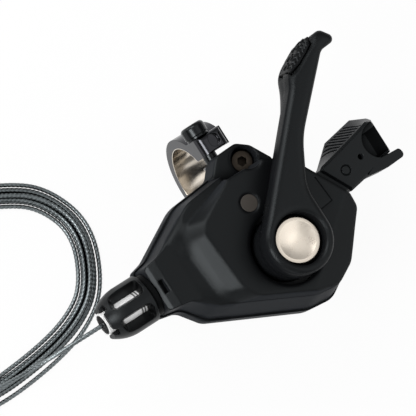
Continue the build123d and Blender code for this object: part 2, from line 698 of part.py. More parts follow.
def cable_spool():
    spool = pin(PIVOT_X, PIVOT_Y, SPOOL_R, SPOOL_LOW, SPOOL_TOP)
    groove = pin(PIVOT_X, PIVOT_Y, SPOOL_R + 1, CABLE_Z - GROOVE_H / 2, CABLE_Z + GROOVE_H / 2)
    spool -= groove - pin(PIVOT_X, PIVOT_Y, CABLE_R - CABLE_D / 2 - RUN_FIT, *THROUGH)
    spool += pin(PIVOT_X, PIVOT_Y, SPOOL_HUB_R, FLANGE_TOP + END_PLAY, SPOOL_LOW)
    spool += pin(PIVOT_X, PIVOT_Y, BUSH_R, SPOOL_TOP, DRIVE_TOP)
    return spool - [pin(PIVOT_X, PIVOT_Y, AXLE_R + RUN_FIT, *THROUGH), cable_head()]


def cable_wrap():
    ring = Pos(PIVOT_X, PIVOT_Y, CABLE_Z) * Torus(CABLE_R, CABLE_D / 2)
    wedge = [(PIVOT_X, PIVOT_Y), (PIVOT_X, PIVOT_Y + 2 * SPOOL_R)]
    wedge += [around_pivot(2 * SPOOL_R, 60), around_pivot(2 * SPOOL_R, 1.5 * HEAD_DEG)]
    return (ring & prism(polygon(wedge), SPOOL_LOW, SPOOL_TOP)) - cable_head()


def spiral_side(start_r):
    arcs = []
    for k in range(2 * SPIRAL_TURNS):
        centre = (PIVOT_X + SPIRAL_STEP * (k % 2), PIVOT_Y)
        arcs.append(CenterArc(centre, start_r + k * SPIRAL_STEP, 180 * (k % 2), 180))
    return arcs


def spool_spring():
    inside = spiral_side(SPIRAL_R)
    outside = spiral_side(SPIRAL_R + SPIRAL_BAND)
    ends = [Line(inside[0] @ 0, outside[0] @ 0), Line(inside[-1] @ 1, outside[-1] @ 1)]
    return prism(make_face(inside + outside + ends), FLANGE_TOP + 2 * END_PLAY, INDEX_LOW - FREE_GAP)


def open_ring(r, wire, gap_deg, first_deg, leg):
    ring = Circle(r + wire / 2) - Circle(r - wire / 2)
    a, b = math.radians(first_deg), math.radians(first_deg + gap_deg)
    far = 4 * r
    ring -= polygon([(0, 0), (far * math.cos(a), far * math.sin(a)), (far * math.cos(b), far * math.sin(b))])
    for turn in (first_deg - 6, first_deg + gap_deg + 6):
        ring += Rot(0, 0, turn) * Pos(r + leg / 2, 0) * Rectangle(leg, wire)
    return ring


def lever_spring():
    ring = open_ring(LEVER_SPRING_R, LEVER_SPRING_WIRE, 70, 60, LEVER_SPRING_LEG)
    low = HUB_LOW + 2 * FREE_GAP
    return prism(Pos(PIVOT_X, PIVOT_Y) * ring, low, low + LEVER_SPRING_H)


def release_spring():
    ring = open_ring(RELEASE_SPRING_R, RELEASE_SPRING_WIRE, 80, 120, RELEASE_SPRING_LEG)
    return prism(Pos(RELEASE_X, RELEASE_Y) * ring, RELEASE_LOW - RELEASE_SPRING_H, RELEASE_LOW)


def hold_spring():
    return prism(polygon(HOLD_LEAF), INDEX_LOW, SPOOL_LOW)


# Release lever and hold pawl
def release_pin():
    return pin(RELEASE_X, RELEASE_Y, RELEASE_PIN_R, Z_FLOOR + END_PLAY, RELEASE_TOP + PIN_PROUD)


def hold_pawl_pin():
    return pin(HOLD_X, HOLD_Y, HOLD_PIN_R, Z_FLOOR + END_PLAY, SPOOL_LOW + PIN_PROUD)


def hold_pawl():
    hub = Pos(HOLD_X, HOLD_Y)
    sketch = polygon(HOLD_ARM) + polygon(HOLD_TAIL) + hub * Circle(HOLD_HUB_R)
    return prism(sketch - hub * Circle(HOLD_PIN_R + RUN_FIT), INDEX_LOW, SPOOL_LOW)


def wall_point(points, x, z):
    for (x0, y0), (x1, y1) in zip(points, points[1:]):
        if x0 <= x <= x1:
            return Vector(x, y0 + (y1 - y0) * (x - x0) / (x1 - x0), z)


def rib_grooves():
    grooves = []
    for k in range(RIB_GROOVES):
        x = RIB_FIRST_X + k * RIB_PITCH
        low = wall_point(RELEASE_BASE, x, RELEASE_LOW)
        high = wall_point(RELEASE_HIGH, x + RIB_SLANT, RELEASE_TOP)
        beside = wall_point(RELEASE_HIGH, x + RIB_SLANT - 1, RELEASE_TOP)
        along = (high - low).normalized()
        normal = (beside - high).cross(along)
        wall = Plane(origin=(low + high) / 2, x_dir=along, z_dir=normal)
        grooves.append(wall * Box(RIB_SHARE * (high - low).length, RIB_W, 2 * RIB_DEPTH))
    return grooves


def release_lever():
    high, base = polygon(RELEASE_HIGH), polygon(RELEASE_BASE)
    ridge = offset(high, -RELEASE_RIDGE, kind=Kind.INTERSECTION)
    lever = ruled((ridge, RELEASE_TOP), (high, RELEASE_TOP - RELEASE_RIDGE), (base, RELEASE_LOW))
    lever -= rib_grooves()
    hollow_low = (polygon(HOLLOW_LOW), RELEASE_LOW + RELEASE_WALL)
    lever -= ruled((polygon(HOLLOW_HIGH), RELEASE_TOP - RELEASE_WALL), hollow_low)
    lever += prism(polygon(INNER_WEB), INNER_WEB_LOW, INNER_WEB_LOW + INNER_WEB_H)
    lever -= pin(BITE_X, BITE_Y, BITE_R, RELEASE_TOP - RELEASE_WALL, RELEASE_TOP + 1)
    lever += prism(outline(LIP_POINTS, LIP_RADII), LIP_LOW, RELEASE_TOP)
    stem = polygon(STEM_POINTS) + Pos(RELEASE_X, RELEASE_Y) * Circle(RELEASE_EYE_R)
    lever += prism(stem, STEM_LOW, STEM_TOP)
    lever += pin(FINGER_X, FINGER_Y, FINGER_R, INDEX_LOW - 2 * END_PLAY, STEM_LOW + END_PLAY)
    lever -= pin(HOLE_X, HOLE_Y, HOLE_R, RELEASE_TOP - RELEASE_WALL, RELEASE_TOP + 1)
    ring = pin(RING_X, RING_Y, RING_R, RELEASE_TOP - FREE_GAP, RELEASE_TOP + 1)
    lever -= ring - pin(RING_X, RING_Y, RING_R - RING_W, *THROUGH)
    return lever - pin(RELEASE_X, RELEASE_Y, RELEASE_PIN_R + RUN_FIT, *THROUGH)


# Barrel adjuster and wire
def barrel_insert():
    insert = pin_x(INSERT_R, NECK_X + INSERT_SINK, NECK_X + INSERT_SINK + INSERT_L)
    return insert - pin_x(CORE_R + RUN_FIT, NECK_X - 1, NECK_X + INSERT_L + 2)


def barrel_core():
    core = pin_x(CORE_R, CORE_OUT_X, CORE_IN_X)
    core -= pin_x(CORE_BORE_R, CORE_OUT_X - 1, CORE_IN_X + 1)
    return core - pin_x(SEAT_R, CORE_OUT_X - 1, CORE_OUT_X + SEAT_DEPTH)


def knob_solid():
    straight = Polyline((0, 0), (KNOB_R - KNOB_EDGE, 0), (KNOB_R, KNOB_EDGE), (KNOB_R, KNOB_STRAIGHT))
    middle = (KNOB_R - KNOB_BULGE, (KNOB_STRAIGHT + KNOB_L) / 2)
    taper = ThreePointArc((KNOB_R, KNOB_STRAIGHT), middle, (KNOB_END_R, KNOB_L))
    close = Polyline((KNOB_END_R, KNOB_L), (0, KNOB_L), (0, 0))
    return revolve(Plane.XZ * make_face(straight + taper + close), Axis.Z)


def window_level(height, near, width, ends, corner):
    far, low, high = near + width, ends[0], KNOB_L - ends[1]
    points = []
    for y, z, dy, dz in [(near, low, 1, 1), (far, low, -1, 1), (far, high, -1, -1), (near, high, 1, -1)]:
        cut = [(y, z + dz * corner), (y + dy * 0.3 * corner, z + dz * 0.3 * corner), (y + dy * corner, z)]
        points += cut if dy == dz else cut[::-1]
    return Plane.YZ * Pos(0, 0, height) * polygon(points)


def knob_windows():
    low = window_level(WINDOW_LOW, FIN_W / 2 + WINDOW_DRAFT, WINDOW_LOW_W, WINDOW_LOW_ENDS, WINDOW_ROUND / 8)
    high = window_level(KNOB_R + FREE_GAP, FIN_W / 2, WINDOW_HIGH_W, WINDOW_HIGH_ENDS, WINDOW_ROUND)
    window = loft([low, high], ruled=True)
    pair = [window, mirror(window, Plane.XZ)]
    return pair + [Rot(0, 0, 180) * one for one in pair]


def barrel_knob():
    knob = knob_solid() - Pos(0, 0, KNOB_L / 2) * Cylinder(CORE_R, KNOB_L + 2)
    knob -= knob_windows()
    reach = KNOB_END_R + SCALLOP_PROUD
    for turn in (45, 135, 225, 315):
        scallop = Box(2 * (reach - CORE_R + SCALLOP_PROUD), SCALLOP_W, 2 * SCALLOP_L)
        knob -= Rot(0, 0, turn) * Pos(reach, 0, KNOB_L) * scallop
    return Pos(KNOB_IN_X, CABLE_Y, CABLE_Z) * Rot(0, -90, 0) * knob


def detent_ring():
    ring = pin_x(DETENT_R, KNOB_IN_X + END_PLAY, NECK_X - 1.5 * END_PLAY)
    return ring - pin_x(CORE_R + FREE_GAP, KNOB_IN_X - 1, NECK_X + 1)


def cable_run():
    return pin_x(CABLE_D / 2, CORE_OUT_X, PIVOT_X)


def bend_radii(route):
    radii = []
    for a, b, c in zip(route, route[1:], route[2:]):
        into, out = Vector(b) - Vector(a), Vector(c) - Vector(b)
        half = math.radians(into.get_angle(out)) / 2
        radii.append(BEND_SHARE * min(into.length, out.length) / math.tan(half))
    return radii


def cable_free():
    path = FilletPolyline(*FREE_ROUTE, radius=bend_radii(FREE_ROUTE))
    section = Plane(origin=FREE_ROUTE[0], z_dir=path % 0) * Circle(CABLE_D / 2)
    return sweep(section, path=path)


def loop(points):
    return outline(points, bend_radii(points[-1:] + points + points[:1]))


def moved_in(points, amount):
    inside = []
    for a, b, c in zip(points[-1:] + points, points, points[1:] + points[:1]):
        along = Vector(c[0] - a[0], c[1] - a[1], 0).normalized()
        inside.append((b[0] - along.Y * amount, b[1] + along.X * amount))
    return inside


def cable_coil():
    inside = prism(loop(moved_in(COIL_OUTSIDE, COIL_W)), FLOOR_Z - 1, FLOOR_Z + COIL_H + 1)
    return prism(loop(COIL_OUTSIDE), FLOOR_Z, FLOOR_Z + COIL_H) - inside


PARTS = [
    upper_housing, lower_cover, access_plug, base_plate, main_axle, pivot_cap, mount_screw, clamp_band,
    clamp_bolt, clamp_washer, cover_screws, release_pin, hold_pawl_pin, barrel_insert, spool_spring,
    lever_spring, release_spring, hold_spring, cable_run, cable_free, cable_coil, pull_lever, thumb_pad,
    lever_bushing, drive_pawl_pin, drive_pawl, release_lever, hold_pawl, cable_spool, index_ratchet,
    drive_ratchet, cable_head, cable_wrap, detent_ring, barrel_knob, barrel_core,
]
for make in PARTS:
    export_step(make(), f"parts/{make.__name__}.step")
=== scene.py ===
"""Looks of the trigger gear shifter: camera, light, materials, the coiled gear wire and the thumb pad's treads.

The scene is in metres and in the part's own frame.
"""

import math

import bmesh
import bpy
from mathutils import Matrix, Vector


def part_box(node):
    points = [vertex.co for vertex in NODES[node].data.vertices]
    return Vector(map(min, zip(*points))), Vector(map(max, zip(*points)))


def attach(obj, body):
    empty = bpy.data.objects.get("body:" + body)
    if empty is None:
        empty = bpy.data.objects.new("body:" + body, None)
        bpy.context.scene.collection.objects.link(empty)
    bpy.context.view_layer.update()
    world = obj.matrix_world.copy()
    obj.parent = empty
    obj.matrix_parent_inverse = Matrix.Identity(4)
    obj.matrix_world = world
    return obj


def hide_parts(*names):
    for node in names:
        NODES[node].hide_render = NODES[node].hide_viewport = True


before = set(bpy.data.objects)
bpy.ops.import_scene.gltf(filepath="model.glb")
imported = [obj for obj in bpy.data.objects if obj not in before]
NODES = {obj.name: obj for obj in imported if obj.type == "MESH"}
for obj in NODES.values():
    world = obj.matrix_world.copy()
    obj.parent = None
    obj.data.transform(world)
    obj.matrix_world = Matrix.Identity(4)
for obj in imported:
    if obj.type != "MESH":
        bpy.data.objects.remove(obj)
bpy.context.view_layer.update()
MM = 0.001
FULL_TURN = 2 * math.pi

# Camera, as the photograph was taken
IMAGE_SIDE = 416
TILT_DEG = 20.0
ROLL_DEG = 32.4
CAMERA_DISTANCE = 900 * MM
CAMERA_REACH = 20.0
PIXELS_PER_METRE = 3720.0
CAMERA_TARGET = Vector((-5.239, -6.689, -1.907)) * MM
SENSOR_MM = 36.0

# Studio
FLOOR_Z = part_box("clamp_band")[0][2]
FLOOR_HALF = 3.0
PAPER_COLOUR = (0.86, 0.86, 0.86, 1)
PAPER_ROUGH = 0.9
PAPER_GLOW = 0.92
SKY_COLOUR = (1, 1, 1, 1)
SKY_HEIGHTS = (0.1, 0.8)
SKY_STRENGTHS = (0.12, 0.46)
# Name, place along the camera's right, up and back, diameter, watts
SOFTBOXES = (
    ("front_softbox", (-0.20, -0.14, 0.62), 0.30, 2.05),
    ("left_softbox", (-0.46, 0.28, 0.30), 0.42, 0.9),
    ("right_softbox", (0.54, -0.05, 0.30), 0.72, 0.76),
    ("low_softbox", (0.0, -0.50, 0.22), 0.40, 0.4),
    ("back_softbox", (-0.17, 0.37, 0.50), 0.36, 1.2),
    ("top_softbox", (0.40, 0.26, 0.56), 0.50, 0.20),
)

# Darkest and lightest tone of each material
TONES = {
    "shell_plastic": ((0.0020, 0.0022, 0.0025), (0.0030, 0.0033, 0.0037)),
    "lever_plastic": ((0.0022, 0.0024, 0.0027), (0.0032, 0.0035, 0.0039)),
    "release_plastic": ((0.0022, 0.0024, 0.0027), (0.0032, 0.0035, 0.0039)),
    "pad_rubber": ((0.0020, 0.0020, 0.0022), (0.0035, 0.0035, 0.0038)),
    "tread_rubber": ((0.0030, 0.0032, 0.0035), (0.0050, 0.0053, 0.0058)),
    "knob_plastic": ((0.0018, 0.0019, 0.0021), (0.0028, 0.0029, 0.0032)),
    "black_plastic": ((0.0008, 0.0008, 0.0009), (0.0014, 0.0014, 0.0015)),
    "plug_plastic": ((0.040, 0.034, 0.029), (0.056, 0.048, 0.041)),
    "inner_plastic": ((0.02, 0.02, 0.021), (0.03, 0.03, 0.031)),
    "gloss_black": ((0.002, 0.002, 0.0023), (0.0035, 0.0035, 0.0039)),
    "bronze_coat": ((0.065, 0.053, 0.042), (0.105, 0.086, 0.069)),
    "cap_silver": ((0.90, 0.80, 0.68), (0.95, 0.87, 0.76)),
    "plain_steel": ((0.45, 0.46, 0.47), (0.6, 0.61, 0.62)),
    # partly the core's own light metal, partly a painted reflection that makes it white
    "core_metal_and_painted_glare": ((0.80, 0.80, 0.80), (0.90, 0.90, 0.89)),
    "brass": ((0.62, 0.45, 0.18), (0.75, 0.58, 0.26)),
    "clamp_coat": ((0.040, 0.041, 0.045), (0.055, 0.056, 0.061)),
    "clamp_bore": ((0.58, 0.52, 0.44), (0.76, 0.70, 0.62)),
    "wire_zinc": ((0.135, 0.155, 0.16), (0.275, 0.305, 0.315)),
}
# Painted shade: in the bands of the barrel core's thread, and within its casing hole
THREAD_PAINTED_SHADE = (0.02, 0.02, 0.02, 1)
HOLE_PAINTED_SHADE = (0.06, 0.06, 0.06, 1)

# Surfaces
COOL_SHINE = (0.90, 0.97, 1.0, 1.0)
ROUGH_BELOW = 0.05
ROUGH_ABOVE = 0.07
SHADE_SAMPLES = 8
PLASTIC_CLOUD = 90.0
METAL_GRAIN = 900.0
CLAMP_GRAIN = 700.0
TOP_NORMAL_Z = (0.35, 0.80)
FOOT_X = (-31 * MM, -25.5 * MM, 1.5 * MM)
NECK_X = (-50 * MM, -35 * MM, 2 * MM)
BODY_EDGE = 1.6 * MM
FOOT_EDGE = 4.2 * MM
NECK_EDGE = 0.6 * MM
BORE_R = 11.3 * MM
THREAD_X = (-45.8 * MM, 0, 0.1 * MM)
THREAD_BANDS = 390.0
CASING_HOLE_R = 2.8 * MM

# Places on Blender's Mix node
MIX_FIRST_COLOUR = 6
MIX_SECOND_COLOUR = 7
MIX_COLOUR = 2

# Gear wire, its route in millimetres
WIRE_D = 1.2 * MM
STRANDS = 6
STRAND_LAY = 7.0 * MM
STRAND_DEPTH = 0.18
RING_POINTS = 18
RING_STEP = 0.55 * MM
CORE_OUT_X = -56.0
CABLE_Y = -17.6
CABLE_Z = 24.0
COIL_Z = FLOOR_Z / MM + 0.9
LOWEST_LAYER_Z = COIL_Z - 0.3
FREE_ROUTE = [
    (CORE_OUT_X, CABLE_Y, CABLE_Z), (-67.0, CABLE_Y, CABLE_Z), (-79.0, -17.4, 15.5), (-89.0, -16.5, 0.5),
    (-97.0, -12.0, COIL_Z + 1.4), (-100.6, -1.0, COIL_Z),
]
COIL_OUTSIDE = [
    (-31.4, 6.5), (-36.7, 21.4), (-47.1, 28.9), (-61.5, 34.2), (-80.3, 33.9), (-97.0, 25.9), (-105.3, 10.3),
    (-102.9, -7.8), (-93.5, -18.4), (-80.8, -21.6), (-62.1, -20.2), (-48.9, -16.9), (-38.5, -9.8),
]
COIL_START = 6
LANE_CHANGE = 0.77
LAYER_RISE = 0.95
# Distance in from the outside and layer of each turn
LANES = [
    (3.5, 2), (2.4, 1), (4.6, 1), (3.5, 1), (1.9, 0), (3.0, 0), (4.1, 0), (5.2, 0), (6.3, 0), (0.2, 0),
]
# Width, shift from turn to turn and waves in a turn
WANDERS = ((0.22, 2.1, 1), (0.12, 1.3, 2))
CURVE_STEPS = 40
CURVE_ORDER = 3

# Treads on the thumb pad's sloping face, their places in millimetres
PAD_TOP = [(16.8, 11.6), (20.4, 12.5), (23.6, 14.0), (25.7, 15.4)]
PAD_SIDE = [(17.2, 12.1), (20.2, 14.1), (24.6, 16.4), (27.2, 17.1)]
PAD_TOP_Z = 43.9
PAD_SIDE_Z = 42.3
TREADS = 7
TREAD_FIRST = 0.12
TREAD_LAST = 0.84
TREAD_BEND = 0.07
TREAD_MARGIN = 0.12
TREAD_WIDTH = 0.76
TREAD_STEPS = 8
TREAD_R = 0.30 * MM
TREAD_END = 0.4
TREAD_POINTS = 10


# Camera
def camera_axes():
    """The camera's right, up and back."""
    tilt = math.radians(TILT_DEG)
    roll = math.radians(ROLL_DEG)
    back = Vector((-math.sin(tilt), 0, math.cos(tilt)))
    along_bar = Vector((math.cos(tilt), 0, math.sin(tilt)))
    across = Vector((0, 1, 0))
    right = math.cos(roll) * along_bar - math.sin(roll) * across
    up = math.sin(roll) * along_bar + math.cos(roll) * across
    return right, up, back


RIGHT, UP, BACK = camera_axes()


def add_object(name, data):
    made = bpy.data.objects.new(name, data)
    bpy.context.scene.collection.objects.link(made)
    return made


def add_camera():
    data = bpy.data.cameras.new("camera")
    data.sensor_width = SENSOR_MM
    data.lens = SENSOR_MM * PIXELS_PER_METRE * CAMERA_DISTANCE / IMAGE_SIDE
    data.clip_end = CAMERA_REACH
    camera = add_object("camera", data)
    facing = Matrix((RIGHT, UP, BACK)).transposed().to_4x4()
    camera.matrix_world = Matrix.Translation(CAMERA_TARGET + BACK * CAMERA_DISTANCE) @ facing
    bpy.context.scene.camera = camera


# Nodes
def feed(tree, place, value):
    """Link a socket to an input, or set the input to a plain value."""
    if isinstance(value, bpy.types.NodeSocket):
        tree.links.new(value, place)
    else:
        place.default_value = value


def node(tree, kind, **values):
    """New node. A value goes to the input of its name, or else to the node's own setting."""
    made = tree.nodes.new("ShaderNode" + kind)
    for name, value in values.items():
        place = made.inputs.get(name.replace("_", " "))
        if place is None:
            setattr(made, name, value)
        else:
            feed(tree, place, value)
    return made


def new_material(name):
    material = bpy.data.materials.new(name)
    material.use_nodes = True
    tree = material.node_tree
    tree.nodes.clear()
    shader = tree.nodes.new("ShaderNodeBsdfPrincipled")
    output = tree.nodes.new("ShaderNodeOutputMaterial")
    tree.links.new(shader.outputs[0], output.inputs[0])
    return material, tree, shader


def coordinates(tree, kind):
    return tree.nodes.new("ShaderNodeTexCoord").outputs[kind]


def part_of(tree, vector, axis):
    return node(tree, "SeparateXYZ", Vector=vector).outputs[axis]


def noise(tree, where, scale, detail):
    return node(tree, "TexNoise", Vector=where, Scale=scale, Detail=detail).outputs[0]


def ramp(tree, share, tones):
    """From the dark tone to the light one."""
    made = node(tree, "ValToRGB", Fac=share)
    for stop, tone in zip(made.color_ramp.elements, tones):
        stop.color = (*tone, 1)
    return made.outputs[0]


def blend(tree, share, first, second):
    """The first colour where the share is 0, the second where it is 1."""
    made = node(tree, "Mix", data_type="RGBA", Factor=share)
    feed(tree, made.inputs[MIX_FIRST_COLOUR], first)
    feed(tree, made.inputs[MIX_SECOND_COLOUR], second)
    return made.outputs[MIX_COLOUR]


def combine(tree, operation, first, second):
    made = node(tree, "Math", operation=operation)
    feed(tree, made.inputs[0], first)
    feed(tree, made.inputs[1], second)
    return made.outputs[0]


def rescale(tree, value, start, end, low=0.0, high=1.0):
    """start..end becomes low..high, held beyond both ends."""
    made = node(tree, "MapRange", Value=value, From_Min=start, From_Max=end, To_Min=low, To_Max=high)
    return made.outputs[0]


def spread(tree, share, low, high):
    return rescale(tree, share, 0.0, 1.0, low, high)


def between(tree, value, low, high, soft):
    """1 where the value lies between low and high, with a soft border."""
    rise = rescale(tree, value, low - soft, low)
    fall = rescale(tree, value, high + soft, high)
    return combine(tree, "MINIMUM", rise, fall)


def inside_radius(tree, where, centre, radius):
    """1 within a radius of the line along X through the centre, else 0."""
    moved = node(tree, "VectorMath", operation="SUBTRACT", Vector=where)
    moved.inputs[1].default_value = centre
    across = node(tree, "VectorMath", operation="MULTIPLY", Vector=moved.outputs[0])
    across.inputs[1].default_value = (0, 1, 1)
    reach = node(tree, "VectorMath", operation="LENGTH", Vector=across.outputs[0])
    return combine(tree, "LESS_THAN", reach.outputs["Value"], radius)


def top_share(tree):
    """0 on upright sides, 1 on faces that look up out of the cover."""
    return rescale(tree, part_of(tree, coordinates(tree, "Normal"), "Z"), *TOP_NORMAL_Z)


def open_share(tree):
    """1 on open faces, less in pockets and grooves, where it takes out shine as painted shade."""
    openness = node(tree, "AmbientOcclusion", samples=SHADE_SAMPLES, Distance=5 * MM)
    return rescale(tree, openness.outputs["AO"], start=0.45, end=0.90, low=0.02)


def broad_ridges(tree, where):
    """Edge rounding of the shell: broad at the foot of the left slope, less over the body, small on the neck."""
    x = part_of(tree, where, "X")
    body = spread(tree, between(tree, x, *FOOT_X), BODY_EDGE, FOOT_EDGE)
    return node(tree, "Mix", data_type="FLOAT", Factor=between(tree, x, *NECK_X), A=body, B=NECK_EDGE).outputs[0]


def varied_rough(tree, shader, share, rough):
    tree.links.new(spread(tree, share, rough - ROUGH_BELOW, rough + ROUGH_ABOVE), shader.inputs["Roughness"])


def surface_bump(tree, shader, height, strength, depth, edge):
    """Fine relief over rounded edges."""
    rounded = node(tree, "Bevel", samples=SHADE_SAMPLES, Radius=edge).outputs[0]
    bump = node(tree, "Bump", Strength=strength, Distance=depth, Height=height, Normal=rounded)
    tree.links.new(bump.outputs[0], shader.inputs["Normal"])


# Materials
def moulded_plastic(name, rough, shine=0.25, grain=1800.0, strength=0.25, edge=0.25 * MM, sides=None, sunk=None):
    """Plastic with a fine grain.

    Without an edge, the shell's own ridges are rounded. Sides are the shine of upright sides, kept low as
    painted shade where they would mirror the floor, and how many times lighter their colour is, as painted
    light. Sunk are the heights below which shine is lost, as painted shade in a pocket.
    """
    material, tree, shader = new_material(name)
    where = coordinates(tree, "Object")
    cloud = noise(tree, where, PLASTIC_CLOUD, detail=4.0)
    fine = noise(tree, where, grain, detail=2.0)
    tint = ramp(tree, cloud, TONES[name])
    shader.inputs["Specular IOR Level"].default_value = shine
    shader.inputs["Specular Tint"].default_value = COOL_SHINE
    if sides is not None:
        side_shine, side_light_gain = sides
        top = top_share(tree)
        # painted light: upright sides get a lighter colour than faces that look up
        painted_side_light = spread(tree, top, side_light_gain, 1.0)
        tint = node(tree, "VectorMath", operation="SCALE", Vector=tint, Scale=painted_side_light).outputs["Vector"]
        # painted shade: shine is lost below the sunk heights, in the pocket
        if sunk is not None:
            top = combine(tree, "MULTIPLY", top, rescale(tree, part_of(tree, where, "Z"), *sunk))
        # painted shade: less shine on upright sides, and in pockets and grooves
        level = combine(tree, "MULTIPLY", spread(tree, top, side_shine, shine), open_share(tree))
        tree.links.new(level, shader.inputs["Specular IOR Level"])
    tree.links.new(tint, shader.inputs["Base Color"])
    varied_rough(tree, shader, cloud, rough)
    rounding = broad_ridges(tree, where) if edge is None else edge
    surface_bump(tree, shader, fine, strength, depth=0.03 * MM, edge=rounding)
    return material


def metal(name, rough, strength=0.15):
    """Metal with a fine grain, its colour darkened in its recesses as painted shade."""
    material, tree, shader = new_material(name)
    grain = noise(tree, coordinates(tree, "Object"), METAL_GRAIN, detail=3.0)
    tint = ramp(tree, grain, TONES[name])
    # painted shade: ambient occlusion darkens the colour in recesses
    recess_painted_shade = node(tree, "AmbientOcclusion", samples=SHADE_SAMPLES, Color=tint, Distance=2.5 * MM)
    tree.links.new(recess_painted_shade.outputs["Color"], shader.inputs["Base Color"])
    varied_rough(tree, shader, grain, rough)
    shader.inputs["Metallic"].default_value = 1.0
    surface_bump(tree, shader, grain, strength, depth=0.01 * MM, edge=0.12 * MM)
    return material


def bored_metal(coat, bare):
    """Dark coat outside, bare turned metal within the bore about the bar's axis."""
    material, tree, shader = new_material(coat)
    where = coordinates(tree, "Object")
    inside = inside_radius(tree, where, (0, 0, 0), BORE_R)
    grain = noise(tree, where, CLAMP_GRAIN, detail=3.0)
    tint = blend(tree, inside, ramp(tree, grain, TONES[coat]), ramp(tree, grain, TONES[bare]))
    tree.links.new(tint, shader.inputs["Base Color"])
    tree.links.new(spread(tree, grain, low=0.12, high=0.2), shader.inputs["Roughness"])
    shader.inputs["Metallic"].default_value = 1.0
    surface_bump(tree, shader, grain, strength=0.15, depth=0.02 * MM, edge=0.25 * MM)
    return material


def threaded_core(name):
    """Core of light metal, whitened by painted reflection; painted shade within the casing hole and in the
    thread near the housing.
    """
    material, tree, shader = new_material(name)
    where = coordinates(tree, "Object")
    hole_painted_shade = inside_radius(tree, where, (0, CABLE_Y * MM, CABLE_Z * MM), CASING_HOLE_R)
    wave = node(tree, "TexWave", Vector=where, Scale=THREAD_BANDS).outputs["Fac"]
    # painted shade in the thread's bands, which also bump
    thread = combine(tree, "MULTIPLY", between(tree, part_of(tree, where, "X"), *THREAD_X), wave)
    cloud = noise(tree, where, METAL_GRAIN, detail=3.0)
    tint = blend(tree, thread, ramp(tree, cloud, TONES[name]), THREAD_PAINTED_SHADE)
    # painted shade within the hole for the casing
    tint = blend(tree, hole_painted_shade, tint, HOLE_PAINTED_SHADE)
    tree.links.new(tint, shader.inputs["Base Color"])
    tree.links.new(spread(tree, cloud, low=0.3, high=0.42), shader.inputs["Roughness"])
    surface_bump(tree, shader, thread, strength=0.4, depth=0.1 * MM, edge=0.15 * MM)
    return material


def dress(material, *names):
    for name in names:
        data = NODES[name].data
        data.materials.clear()
        data.materials.append(material)


def dress_all():
    dress(moulded_plastic("shell_plastic", rough=0.33, shine=0.22, edge=None, sides=(0.004, 8.0)),
          "upper_housing", "lower_cover")
    dress(moulded_plastic("lever_plastic", rough=0.27, shine=0.22, edge=2.6 * MM, sides=(0.012, 3.0)),
          "pull_lever")
    dress(moulded_plastic("release_plastic", rough=0.33, edge=0.3 * MM, sides=(0.04, 6.0),
                          sunk=(24 * MM, 27 * MM)),
          "release_lever")
    dress(moulded_plastic("pad_rubber", rough=0.6, shine=0.15, grain=900.0, strength=0.4), "thumb_pad")
    dress(moulded_plastic("knob_plastic", rough=0.35), "barrel_knob")
    dress(moulded_plastic("black_plastic", rough=0.6, shine=0.08), "detent_ring")
    dress(moulded_plastic("plug_plastic", rough=0.5), "access_plug")
    dress(moulded_plastic("inner_plastic", rough=0.5), "cable_spool", "lever_bushing")
    dress(moulded_plastic("gloss_black", rough=0.22, shine=0.35), "clamp_bolt", "clamp_washer")
    dress(metal("bronze_coat", rough=0.45), "mount_screw", "cover_screws")
    dress(metal("cap_silver", rough=0.28, strength=0.03), "pivot_cap")
    dress(metal("plain_steel", rough=0.32),
          "base_plate", "main_axle", "release_pin", "hold_pawl_pin", "spool_spring", "lever_spring",
          "release_spring", "hold_spring", "drive_pawl_pin", "drive_pawl", "hold_pawl", "index_ratchet",
          "drive_ratchet", "cable_head", "cable_wrap", "cable_run")
    dress(threaded_core("core_metal_and_painted_glare"), "barrel_core")
    dress(metal("brass", rough=0.3), "barrel_insert")
    dress(bored_metal("clamp_coat", "clamp_bore"), "clamp_band")


# Studio
def add_floor():
    """White paper: it glows for the camera and in reflections, and keeps the object's shadow."""
    material, tree, shader = new_material("white_paper")
    shader.inputs["Base Color"].default_value = PAPER_COLOUR
    shader.inputs["Roughness"].default_value = PAPER_ROUGH
    path = tree.nodes.new("ShaderNodeLightPath")
    seen = combine(tree, "MAXIMUM", path.outputs["Is Camera Ray"], path.outputs["Is Glossy Ray"])
    seen = combine(tree, "MAXIMUM", seen, path.outputs["Is Transmission Ray"])
    glow = node(tree, "Emission", Strength=1.0)
    mix = node(tree, "MixShader", Fac=combine(tree, "MULTIPLY", seen, PAPER_GLOW))
    tree.links.new(shader.outputs[0], mix.inputs[1])
    tree.links.new(glow.outputs[0], mix.inputs[2])
    output = next(n for n in tree.nodes if n.type == "OUTPUT_MATERIAL")
    tree.links.new(mix.outputs[0], output.inputs[0])
    mesh = bpy.data.meshes.new("floor")
    corners = [(x * FLOOR_HALF, y * FLOOR_HALF, FLOOR_Z) for x, y in ((-1, -1), (1, -1), (1, 1), (-1, 1))]
    mesh.from_pydata(corners, [], [(0, 1, 2, 3)])
    mesh.materials.append(material)
    floor = add_object("floor", mesh)


def add_softbox(name, offset, size, power):
    data = bpy.data.lights.new(name, "AREA")
    data.shape = "DISK"
    data.size = size
    data.energy = power
    facing = offset.normalized().to_track_quat("Z", "Y").to_matrix().to_4x4()
    add_object(name, data).matrix_world = Matrix.Translation(CAMERA_TARGET + offset) @ facing


def light_scene():
    scene = bpy.context.scene
    scene.view_settings.view_transform = "Standard"
    world = bpy.data.worlds.new("studio")
    world.use_nodes = True
    tree = world.node_tree
    background = tree.nodes["Background"]
    background.inputs["Color"].default_value = SKY_COLOUR
    height = part_of(tree, coordinates(tree, "Generated"), "Z")
    tree.links.new(rescale(tree, height, *SKY_HEIGHTS, *SKY_STRENGTHS), background.inputs["Strength"])
    scene.world = world
    for name, (right, up, back), size, power in SOFTBOXES:
        add_softbox(name, right * RIGHT + up * UP + back * BACK, size, power)


